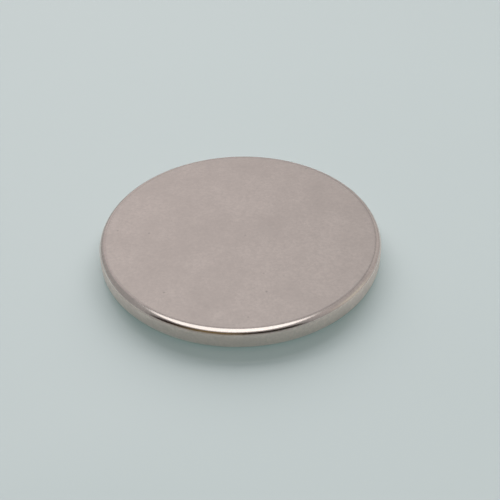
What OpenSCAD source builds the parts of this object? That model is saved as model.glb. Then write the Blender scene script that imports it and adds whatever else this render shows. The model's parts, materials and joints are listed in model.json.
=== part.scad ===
// Thin round magnet: one solid disc with flat faces, a straight rim and rounded edges.
// It lies on its lower face, with the origin at the centre of that face and +Z up.

/* [Disc] */
// Diameter across the rim
disc_d = 20; // [8:0.5:60]
// Thickness from face to face
disc_t = 1.5; // [1:0.1:10]

/* [Edge] */
// Radius of the rounding where each face meets the rim
edge_r = 0.4; // [0.1:0.05:0.45]

/* [Hidden] */
nickel = [0.69, 0.65, 0.63];
disc_r = disc_d / 2;
// Each flat face ends, and each rounding is centred, this far from the axis
face_r = disc_r - edge_r;
// Height of the straight part of the rim, between the two roundings
rim_h = disc_t - 2 * edge_r;
// Sides of the whole rim and of one edge circle, where a drawing needs facets
disc_fn = 180;
edge_fn = 48;

// Half of the disc's section, from the axis out to the rim
module half_section() {
    square([face_r, disc_t]);
    translate([0, edge_r])
        square([disc_r, rim_h]);
    for (edge_z = [edge_r, edge_r + rim_h])
        translate([face_r, edge_z])
            circle(r = edge_r, $fn = edge_fn);
}

module magnet() {
    color(nickel)
        rotate_extrude($fn = disc_fn)
            half_section();
}

magnet();
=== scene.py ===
"""A thin nickel-plated disc magnet lying on a pale glossy table, under a soft studio light.

The disc is one surface of revolution, worked out with numpy and carried round its axis.
Lengths are in metres, in the frame of the CAD model: +Z up, origin at the centre of the lower face.
"""

import json
import math

import bpy
import numpy as np
from mathutils import Matrix, Vector


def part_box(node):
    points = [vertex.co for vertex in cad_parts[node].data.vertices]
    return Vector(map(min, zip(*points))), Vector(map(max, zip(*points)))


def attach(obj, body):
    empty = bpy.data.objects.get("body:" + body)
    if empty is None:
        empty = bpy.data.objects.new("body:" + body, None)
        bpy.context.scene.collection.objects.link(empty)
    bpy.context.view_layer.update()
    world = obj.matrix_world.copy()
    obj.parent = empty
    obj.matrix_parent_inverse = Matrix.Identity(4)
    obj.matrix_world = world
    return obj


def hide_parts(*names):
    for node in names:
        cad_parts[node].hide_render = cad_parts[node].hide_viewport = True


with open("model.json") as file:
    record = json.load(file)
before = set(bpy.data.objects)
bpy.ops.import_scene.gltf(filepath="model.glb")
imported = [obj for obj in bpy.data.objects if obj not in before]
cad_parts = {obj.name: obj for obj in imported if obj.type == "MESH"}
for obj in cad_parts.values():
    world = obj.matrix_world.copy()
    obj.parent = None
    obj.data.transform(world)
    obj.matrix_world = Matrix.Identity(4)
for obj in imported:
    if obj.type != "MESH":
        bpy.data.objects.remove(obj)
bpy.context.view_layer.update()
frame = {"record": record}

# ---------------------------------------------------------------- sizes, from the CAD model

MM = 0.001
disc_low, disc_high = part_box("magnet")
DISC_R = (disc_high.x - disc_low.x) / 2
DISC_T = disc_high.z - disc_low.z
RIM = next(m for m in frame["record"]["mounts"] if m["name"] == "rim")
RIM_H = RIM["dims"]["length_mm"] * MM  # straight part of the wall
EDGE_R = (DISC_T - RIM_H) / 2
CENTRE = (disc_low + disc_high) / 2


# ---------------------------------------------------------------- the disc


def put(name, data):
    """A new object in the scene, at the origin."""
    made = bpy.data.objects.new(name, data)
    bpy.context.scene.collection.objects.link(made)
    return made


TURN_STEPS = 480  # columns round the axis
FACE_RINGS = 20  # rings across each flat face
EDGE_RINGS = 20  # rings over each rounded edge
WALL_RINGS = 4  # rings up the straight wall
# Least and most that each edge's radius is round the disc, after tumbling
UPPER_EDGE = (1.05 * EDGE_R, 1.12 * EDGE_R)
LOWER_EDGE = (0.86 * EDGE_R, 0.96 * EDGE_R)
WORN_R = sum(UPPER_EDGE) / 2  # the upper edge's radius on average
LOWER_TURN = 2.5  # how far round the lower edge's wear is from the upper's, in radians
# The wear's cosines: size, how many waves go into a full turn, and starting angle in radians
WEAR_WAVES = ((1.0, 2, 0.4), (0.6, 3, 2.1), (0.4, 7, 5.0))


def edge_radius(turn, least, most):
    """Edge radius at each angle round the disc, which wanders between least and most.

    The wear is a sum of slow cosines with whole numbers of waves, so it closes on itself after a
    full turn. It is divided by twice the sum of their sizes, so it stays within a half of zero."""
    wear = sum(size * np.cos(waves * turn + start) for size, waves, start in WEAR_WAVES)
    reach = 2 * sum(size for size, waves, start in WEAR_WAVES)
    return least + (most - least) * (0.5 + wear / reach)


def disc_grid():
    """Grid of points, one row per ring from the lower face, out round the rim, to the upper face.

    A face ring lies at a share of the flat's radius. An edge ring is a point of a quarter circle:
    radius R - e (1 - cos a), height e (1 - sin a) from the face, with e the edge radius and a the
    angle of the normal above the horizontal. A wall ring divides what is left between the edges."""
    turn = np.linspace(0, 2 * math.pi, TURN_STEPS, endpoint=False)
    upper = edge_radius(turn, *UPPER_EDGE)
    lower = edge_radius(turn + LOWER_TURN, *LOWER_EDGE)
    # Rings crowd towards the edge, so that the flat's shading stays flat
    share = 1 - (1 - np.linspace(0, 1, FACE_RINGS + 1)[1:-1]) ** 2
    angle = np.linspace(0, math.pi / 2, EDGE_RINGS + 1)
    rise = np.linspace(0, 1, WALL_RINGS + 1)[1:-1]

    def face(edge, height):
        radius = np.outer(share, DISC_R - edge)
        return radius, np.full_like(radius, height)

    def quarter(edge):
        return DISC_R - np.outer(1 - np.cos(angle), edge), np.outer(1 - np.sin(angle), edge)

    low_r, low_h = quarter(lower)
    top_r, top_h = quarter(upper)
    wall_h = lower + np.outer(rise, DISC_T - upper - lower)
    parts = [
        face(lower, 0.0),
        (low_r[::-1], low_h[::-1]),
        (np.full_like(wall_h, DISC_R), wall_h),
        (top_r, DISC_T - top_h),
        tuple(a[::-1] for a in face(upper, DISC_T)),
    ]
    radius = np.vstack([p[0] for p in parts])
    height = np.vstack([p[1] for p in parts])
    return np.stack([radius * np.cos(turn), radius * np.sin(turn), height + disc_low.z], axis=2)


def closed_surface(name, grid):
    """Mesh of a grid that closes round in its second direction, with a pole at each end.

    Each cell is a quad, and each pole joins to its nearest ring by triangles."""
    rings, turns = grid.shape[:2]
    poles = np.array([[0, 0, grid[0, 0, 2]], [0, 0, grid[-1, 0, 2]]])
    points = np.vstack([grid.reshape(-1, 3), poles])
    index = np.arange(rings * turns).reshape(rings, turns)
    after = np.roll(index, -1, axis=1)
    quads = np.stack([index[:-1], after[:-1], after[1:], index[1:]], axis=2).reshape(-1, 4)
    low_pole = rings * turns
    top_pole = low_pole + 1
    low_fan = np.stack([np.full(turns, low_pole), after[0], index[0]], axis=1)
    top_fan = np.stack([np.full(turns, top_pole), index[-1], after[-1]], axis=1)
    mesh = bpy.data.meshes.new(name)
    mesh.from_pydata(points.tolist(), [], quads.tolist() + low_fan.tolist() + top_fan.tolist())
    mesh.polygons.foreach_set("use_smooth", np.ones(len(mesh.polygons), bool))
    mesh.update()
    return put(name, mesh)


# ---------------------------------------------------------------- node helpers


def add(tree, kind, **settings):
    """A new node of this kind, with its properties set by name."""
    made = tree.nodes.new(kind)
    for key, value in settings.items():
        setattr(made, key, value)
    return made


def wire(tree, source, target):
    tree.links.new(source, target)


def feed(tree, value, target):
    """Sets an input to a plain number, or wires a socket to it."""
    if isinstance(value, (int, float)):
        target.default_value = value
    else:
        wire(tree, value, target)


def maths(tree, operation, *values):
    """A Math node's output, from sockets or plain numbers."""
    made = add(tree, "ShaderNodeMath", operation=operation)
    for place, value in enumerate(values):
        feed(tree, value, made.inputs[place])
    return made.outputs[0]


def ease(tree, value, start, end):
    """0 until value is at start and 1 once it is at end, eased between. start may be the greater."""
    made = add(tree, "ShaderNodeMapRange", interpolation_type="SMOOTHSTEP")
    feed(tree, value, made.inputs["Value"])
    feed(tree, start, made.inputs["From Min"])
    feed(tree, end, made.inputs["From Max"])
    return made.outputs["Result"]


def new_group(name, inputs, outputs):
    """An empty shader node group and its input and output nodes.

    inputs is {name: default}, where None stands for a vector. Each output is a number."""
    tree = bpy.data.node_groups.new(name, "ShaderNodeTree")
    for key, default in inputs.items():
        kind = "NodeSocketVector" if default is None else "NodeSocketFloat"
        made = tree.interface.new_socket(key, in_out="INPUT", socket_type=kind)
        if default is not None:
            made.default_value = default
    for key in outputs:
        tree.interface.new_socket(key, in_out="OUTPUT", socket_type="NodeSocketFloat")
    return tree, add(tree, "NodeGroupInput"), add(tree, "NodeGroupOutput")


def use_group(tree, group, vector, values):
    """Places a group in a tree, with its Vector wired and its other inputs set by name."""
    made = add(tree, "ShaderNodeGroup", node_tree=group)
    wire(tree, vector, made.inputs["Vector"])
    for key, value in values.items():
        made.inputs[key].default_value = value
    return made


def new_finish(name):
    """A new material, its node tree and its Principled shader."""
    mat = bpy.data.materials.new(name)
    mat.use_nodes = True
    return mat, mat.node_tree, mat.node_tree.nodes["Principled BSDF"]


# ---------------------------------------------------------------- effects of the plating

PER_METRE = 1 / MM  # a pattern's scale is in cycles a metre, and its size is given in millimetres
PATCH = (0.4, 0.6)  # cloud values at which the speckle is least and most
EVEN = 0.5  # a noise's middle value


def grain_group():
    """Plating grain: soft clouds, and a fine speckle that some clouds hold more of.

    Grain and Cloud are the sizes of each in millimetres, and Patchiness is how much of the speckle
    the darker clouds lose. Speckle and Clouds are about zero, and Height is from 0 to 1."""
    inputs = {"Vector": None, "Grain": 0.15, "Cloud": 4.0, "Patchiness": 0.5}
    tree, start, end = new_group("plating_grain", inputs, ["Speckle", "Clouds", "Height"])

    def noise(size, detail, rough):
        made = add(tree, "ShaderNodeTexNoise", noise_dimensions="3D")
        wire(tree, start.outputs["Vector"], made.inputs["Vector"])
        wire(tree, maths(tree, "DIVIDE", PER_METRE, size), made.inputs["Scale"])
        made.inputs["Detail"].default_value = detail
        made.inputs["Roughness"].default_value = rough
        return made.outputs["Fac"]

    fine = noise(start.outputs["Grain"], detail=2.0, rough=0.7)
    slow = noise(start.outputs["Cloud"], detail=4.0, rough=0.8)
    least = maths(tree, "SUBTRACT", 1.0, start.outputs["Patchiness"])
    patch = ease(tree, slow, *PATCH)
    share = maths(tree, "MULTIPLY_ADD", patch, start.outputs["Patchiness"], least)
    speckle = maths(tree, "MULTIPLY", maths(tree, "SUBTRACT", fine, EVEN), share)
    wire(tree, speckle, end.inputs["Speckle"])
    wire(tree, maths(tree, "SUBTRACT", slow, EVEN), end.inputs["Clouds"])
    wire(tree, fine, end.inputs["Height"])
    return tree


def spot_group():
    """Round spots: some cells of a cell pattern hold one, 1 at its middle and 0 outside.

    Spacing is the cells' size in millimetres, Size is a spot's radius as a share of it, and Share
    is how many of the cells hold a spot."""
    inputs = {"Vector": None, "Spacing": 1.3, "Size": 0.05, "Share": 0.2}
    tree, start, end = new_group("plating_spots", inputs, ["Spot"])
    cells = add(tree, "ShaderNodeTexVoronoi", feature="F1", voronoi_dimensions="3D")
    wire(tree, start.outputs["Vector"], cells.inputs["Vector"])
    wire(tree, maths(tree, "DIVIDE", PER_METRE, start.outputs["Spacing"]), cells.inputs["Scale"])
    spot = ease(tree, cells.outputs["Distance"], start.outputs["Size"], 0.0)
    pick = add(tree, "ShaderNodeSeparateColor")
    wire(tree, cells.outputs["Color"], pick.inputs["Color"])
    chosen = maths(tree, "LESS_THAN", pick.outputs["Red"], start.outputs["Share"])
    wire(tree, maths(tree, "MULTIPLY", spot, chosen), end.inputs["Spot"])
    return tree


# ---------------------------------------------------------------- finishes

NICKEL = (0.775, 0.709, 0.662)
# Brighter copy of the nickel: a painted sheen on the rounded edges and wall, which brightens what they
# mirror
NICKEL_PAINTED_SHEEN = (0.87, 0.77, 0.715)
# How matte the satin face is, then the burnished edges, then the wall, which rubs on its neighbours
FACE_ROUGH = 0.34
EDGE_ROUGH = 0.18
WALL_ROUGH = 0.58

GRAIN = {"Grain": 0.20, "Cloud": 4.0, "Patchiness": 0.5}
PITS = {"Spacing": 1.3, "Size": 0.10, "Share": 0.3}
NICKS = {"Spacing": 0.9, "Size": 0.10, "Share": 0.2}

# Where the finish changes, from 0 where the flat ends to 1 at the wall
PAINTED_SHEEN_REACH = (0.0, 0.6)  # painted sheen on the colour, from plain nickel to its brighter copy
BURNISH = (-0.12, 0.12)  # from satin to burnished
RUB = (0.82, 0.98)  # from burnished to rubbed
PAINTED_LINE_HALF_WIDTH = 0.25  # half width of the painted dark line, painted shade at the end of the flat

# How much each effect adds to the colour, and then to the roughness
SPECKLE_TONE = 0.34
CLOUD_TONE = 0.33
PIT_TONE = -0.32
NICK_TONE = 0.16
PAINTED_LINE_TONE = -0.15
SPECKLE_ROUGH = 0.10

RELIEF = 0.001 * MM  # height of the grain
RELIEF_STRENGTH = 0.5
PIT_DEPTH = 2.0  # in heights of the grain


def out_from_flat(tree, place):
    """How far out a point is, as 0 where the flat ends and 1 at the wall.

    It is the distance from the axis less the flat's radius, over the worn edge's radius."""
    level = add(tree, "ShaderNodeVectorMath", operation="MULTIPLY")
    wire(tree, place, level.inputs[0])
    level.inputs[1].default_value = (1, 1, 0)
    from_axis = add(tree, "ShaderNodeVectorMath", operation="LENGTH")
    wire(tree, level.outputs["Vector"], from_axis.inputs[0])
    past_flat = maths(tree, "SUBTRACT", from_axis.outputs["Value"], DISC_R - WORN_R)
    return maths(tree, "DIVIDE", past_flat, WORN_R)


def nickel_plate():
    """Satin nickel on the flats, burnished where tumbling has rubbed the rounded edges. The rounded
    edges and wall also carry a painted sheen, a brighter copy of the nickel, and a painted dark line
    of shade runs round the end of the flat.
    """
    mat, tree, shader = new_finish("nickel_plate")
    shader.inputs["Metallic"].default_value = 1.0
    place = add(tree, "ShaderNodeTexCoord").outputs["Object"]
    grain = use_group(tree, grain_group(), place, GRAIN)
    spots = spot_group()
    pits = use_group(tree, spots, place, PITS)
    nicks = use_group(tree, spots, place, NICKS)
    out = out_from_flat(tree, place)

    # Colour
    # Painted shade: a thin dark line painted round the end of the flat, where the edge would reflect a
    # darker band
    painted_dark_line = ease(tree, maths(tree, "ABSOLUTE", out), PAINTED_LINE_HALF_WIDTH, 0.0)
    shade = 1.0
    for effect, amount in (
        (grain.outputs["Speckle"], SPECKLE_TONE),
        (grain.outputs["Clouds"], CLOUD_TONE),
        (pits.outputs["Spot"], PIT_TONE),
        (nicks.outputs["Spot"], NICK_TONE),
        (painted_dark_line, PAINTED_LINE_TONE),
    ):
        shade = maths(tree, "MULTIPLY_ADD", effect, amount, shade)
    # Painted sheen: the rounded edges and wall take the brighter copy of the nickel
    base = add(tree, "ShaderNodeMix", data_type="RGBA")
    base.inputs["A"].default_value = (*NICKEL, 1)
    base.inputs["B"].default_value = (*NICKEL_PAINTED_SHEEN, 1)
    wire(tree, ease(tree, out, *PAINTED_SHEEN_REACH), base.inputs["Factor"])
    tone = add(tree, "ShaderNodeVectorMath", operation="SCALE")
    wire(tree, base.outputs["Result"], tone.inputs[0])
    wire(tree, shade, tone.inputs["Scale"])
    wire(tree, tone.outputs["Vector"], shader.inputs["Base Color"])

    # Roughness
    rough = FACE_ROUGH
    for effect, amount in (
        (ease(tree, out, *BURNISH), EDGE_ROUGH - FACE_ROUGH),
        (ease(tree, out, *RUB), WALL_ROUGH - EDGE_ROUGH),
        (grain.outputs["Speckle"], SPECKLE_ROUGH),
    ):
        rough = maths(tree, "MULTIPLY_ADD", effect, amount, rough)
    wire(tree, rough, shader.inputs["Roughness"])

    # Relief
    height = maths(tree, "MULTIPLY_ADD", pits.outputs["Spot"], -PIT_DEPTH, grain.outputs["Height"])
    bump = add(tree, "ShaderNodeBump")
    bump.inputs["Strength"].default_value = RELIEF_STRENGTH
    bump.inputs["Distance"].default_value = RELIEF
    wire(tree, height, bump.inputs["Height"])
    wire(tree, bump.outputs["Normal"], shader.inputs["Normal"])
    return mat


# ---------------------------------------------------------------- the table

TABLE_COLOUR = (0.421, 0.437, 0.442)
TABLE_PAINTED_GLOW = (0.10, 0.15, 0.145)  # painted light: the whole top glows evenly, which lightens the disc's shadow and the crease under its edge
TABLE_ROUGH = 0.9
POLISH_ROUGH = 0.04
POLISH_IOR = 1.5
POLISH_SHARE = (0.10, 0.45)  # least and most that the polish mirrors, from above and at a glance
TABLE_R = 1.2  # half its width
TABLE_GAP = 0.004 * MM  # below the disc, so that the two don't touch


def pale_top():
    """Matte pale colour that glows evenly as painted light, under a polish, which mirrors more at a
    glance but never most of the light.
    """
    mat, tree, matte = new_finish("pale_top")
    matte.inputs["Base Color"].default_value = (*TABLE_COLOUR, 1)
    matte.inputs["Roughness"].default_value = TABLE_ROUGH
    matte.inputs["Specular IOR Level"].default_value = 0.0
    # Painted light: an even glow over the whole top, which lifts the shadows
    matte.inputs["Emission Color"].default_value = (*TABLE_PAINTED_GLOW, 1)
    matte.inputs["Emission Strength"].default_value = 1.0
    polish = add(tree, "ShaderNodeBsdfGlossy")
    polish.inputs["Roughness"].default_value = POLISH_ROUGH
    mirrored = add(tree, "ShaderNodeFresnel")
    mirrored.inputs["IOR"].default_value = POLISH_IOR
    least, most = POLISH_SHARE
    share = maths(tree, "MINIMUM", maths(tree, "MAXIMUM", mirrored.outputs["Fac"], least), most)
    both = add(tree, "ShaderNodeMixShader")
    wire(tree, share, both.inputs["Fac"])
    wire(tree, matte.outputs["BSDF"], both.inputs[1])
    wire(tree, polish.outputs["BSDF"], both.inputs[2])
    wire(tree, both.outputs["Shader"], tree.nodes["Material Output"].inputs["Surface"])
    return mat


def pale_table():
    """Plain level table that reaches the horizon."""
    z = disc_low.z - TABLE_GAP
    corners = [(x * TABLE_R, y * TABLE_R, z) for x, y in ((-1, -1), (1, -1), (1, 1), (-1, 1))]
    mesh = bpy.data.meshes.new("table")
    mesh.from_pydata(corners, [], [(0, 1, 2, 3)])
    mesh.materials.append(pale_top())
    put("table", mesh)


# ---------------------------------------------------------------- the light

# The lamp overhead is only mirrored, and the lamp behind lights the table without being mirrored
OVERHEAD_H = 0.30
OVERHEAD_W = 1.18 * OVERHEAD_H
OVERHEAD_SHIFT = -0.12 * OVERHEAD_H  # to the left, and as far to the front
OVERHEAD_RADIANCE = 1.0

REAR_ANGLE = math.radians(26)  # above the table
REAR_FAR = 1.4
REAR_SIZE = (1.4 * REAR_FAR, 0.64 * REAR_FAR)
REAR_RADIANCE = 8.75


def softbox(name, shape, middle, size, radiance):
    """Lamp of even brightness at middle, which faces straight down until it is turned.

    A flat lamp's power is its brightness times its area and pi."""
    lamp = bpy.data.lights.new(name, "AREA")
    lamp.shape = shape
    lamp.size, lamp.size_y = size
    fill = math.pi / 4 if shape == "ELLIPSE" else 1
    lamp.energy = radiance * fill * size[0] * size[1] * math.pi
    made = put(name, lamp)
    made.location = middle
    made.visible_camera = False
    return made


def overhead_lamp():
    """Round lamp over the disc, a little to the left and to the front of it."""
    middle = (OVERHEAD_SHIFT, OVERHEAD_SHIFT, OVERHEAD_H)
    lamp = softbox("overhead", "ELLIPSE", middle, (OVERHEAD_W, OVERHEAD_W), OVERHEAD_RADIANCE)
    lamp.visible_diffuse = False


def rear_lamp():
    """Wide lamp behind the disc, turned to face it."""
    middle = Vector((0, REAR_FAR * math.cos(REAR_ANGLE), REAR_FAR * math.sin(REAR_ANGLE)))
    lamp = softbox("rear", "RECTANGLE", middle, REAR_SIZE, REAR_RADIANCE)
    lamp.rotation_euler = (CENTRE - middle).to_track_quat("-Z", "Y").to_euler()
    lamp.visible_glossy = False


# The room's walls as the disc mirrors them: middle and half width of each in degrees round from
# straight behind the disc, softness of its ends, lowest and highest elevation, and colour
ROOM_GREY = (0.295, 0.30, 0.302)
ROOM_SOFT = 0.04  # softness of a wall's lower and upper ends, as a sine
ROOM_WALLS = (
    (50, 62, 16, -20, 64, (0.39, 0.375, 0.375)),  # right
    (-12, 20, 20, 12, 52, (0.626, 0.583, 0.585)),  # straight behind
    (34, 14, 10, 16, 42, (0.48, 0.465, 0.46)),  # a paler stretch between the two
    (90, 15, 12, 6, 36, (0.52, 0.525, 0.47)),  # a pane on the right
    (-168, 57, 5, 4, 42, (0.02, 0.012, 0.01)),  # in front
    (-158, 19, 12, 4, 42, (0.165, 0.125, 0.06)),  # in front, its middle
)


def room_world():
    """Soft light from a grey room whose walls differ: pale behind the disc, dark in front of it."""
    world = bpy.data.worlds.new("room")
    bpy.context.scene.world = world
    world.use_nodes = True
    tree = world.node_tree
    way = add(tree, "ShaderNodeSeparateXYZ")
    wire(tree, add(tree, "ShaderNodeTexCoord").outputs["Generated"], way.inputs[0])
    turn = maths(tree, "ARCTAN2", way.outputs["X"], way.outputs["Y"])
    height = way.outputs["Z"]  # sine of the elevation

    grey = add(tree, "ShaderNodeRGB")
    grey.outputs["Color"].default_value = (*ROOM_GREY, 1)
    shade = grey.outputs["Color"]
    for middle, half_width, soft, low, high, colour in ROOM_WALLS:
        off = maths(tree, "SUBTRACT", turn, math.radians(middle))
        off = maths(tree, "ABSOLUTE", maths(tree, "WRAP", off, math.pi, -math.pi))
        across = ease(tree, off, math.radians(half_width + soft), math.radians(half_width - soft))
        top = math.sin(math.radians(high))
        bottom = math.sin(math.radians(low))
        under = ease(tree, height, top + ROOM_SOFT, top - ROOM_SOFT)
        over = ease(tree, height, bottom - ROOM_SOFT, bottom + ROOM_SOFT)
        upright = maths(tree, "MULTIPLY", under, over)
        mix = add(tree, "ShaderNodeMix", data_type="RGBA")
        wire(tree, maths(tree, "MULTIPLY", across, upright), mix.inputs["Factor"])
        wire(tree, shade, mix.inputs["A"])
        mix.inputs["B"].default_value = (*colour, 1)
        shade = mix.outputs["Result"]
    wire(tree, shade, tree.nodes["Background"].inputs["Color"])


# ---------------------------------------------------------------- the camera

LENS = 65.0  # millimetres, as is the sensor
SENSOR = 36.0
CLIP = (1 * MM, 10.0)  # nearest and farthest that it sees
ELEVATION = math.radians(39.24)  # above the table
DISTANCE = 64.74 * MM  # from the disc's centre
ROLL = math.radians(1.58)
AIM_RIGHT = 0.688 * MM  # where it points, from the disc's centre
AIM_UP = -0.636 * MM


def camera():
    """Camera in front of the disc and above it, a little rolled, pointed just beside the centre."""
    data = bpy.data.cameras.new("camera")
    data.lens = LENS
    data.sensor_width = SENSOR
    data.clip_start, data.clip_end = CLIP
    made = put("camera", data)
    ahead = Vector((0, math.cos(ELEVATION), -math.sin(ELEVATION)))
    level = Vector((1, 0, 0))
    upright = Vector((0, math.sin(ELEVATION), math.cos(ELEVATION)))
    right = math.cos(ROLL) * level - math.sin(ROLL) * upright
    up = math.cos(ROLL) * upright + math.sin(ROLL) * level
    where = CENTRE - ahead * DISTANCE
    aim = CENTRE + right * AIM_RIGHT + up * AIM_UP
    swing = ahead.rotation_difference(aim - where)
    axes = Matrix((swing @ right, swing @ up, swing @ -ahead)).transposed()
    made.matrix_world = Matrix.Translation(where) @ axes.to_4x4()
    bpy.context.scene.camera = made


# ---------------------------------------------------------------- putting it together

camera()
room_world()
pale_table()
overhead_lamp()
rear_lamp()

disc = closed_surface("disc", disc_grid())
disc.data.materials.append(nickel_plate())
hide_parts("magnet")
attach(disc, "root")

bpy.context.scene.view_settings.view_transform = "Standard"
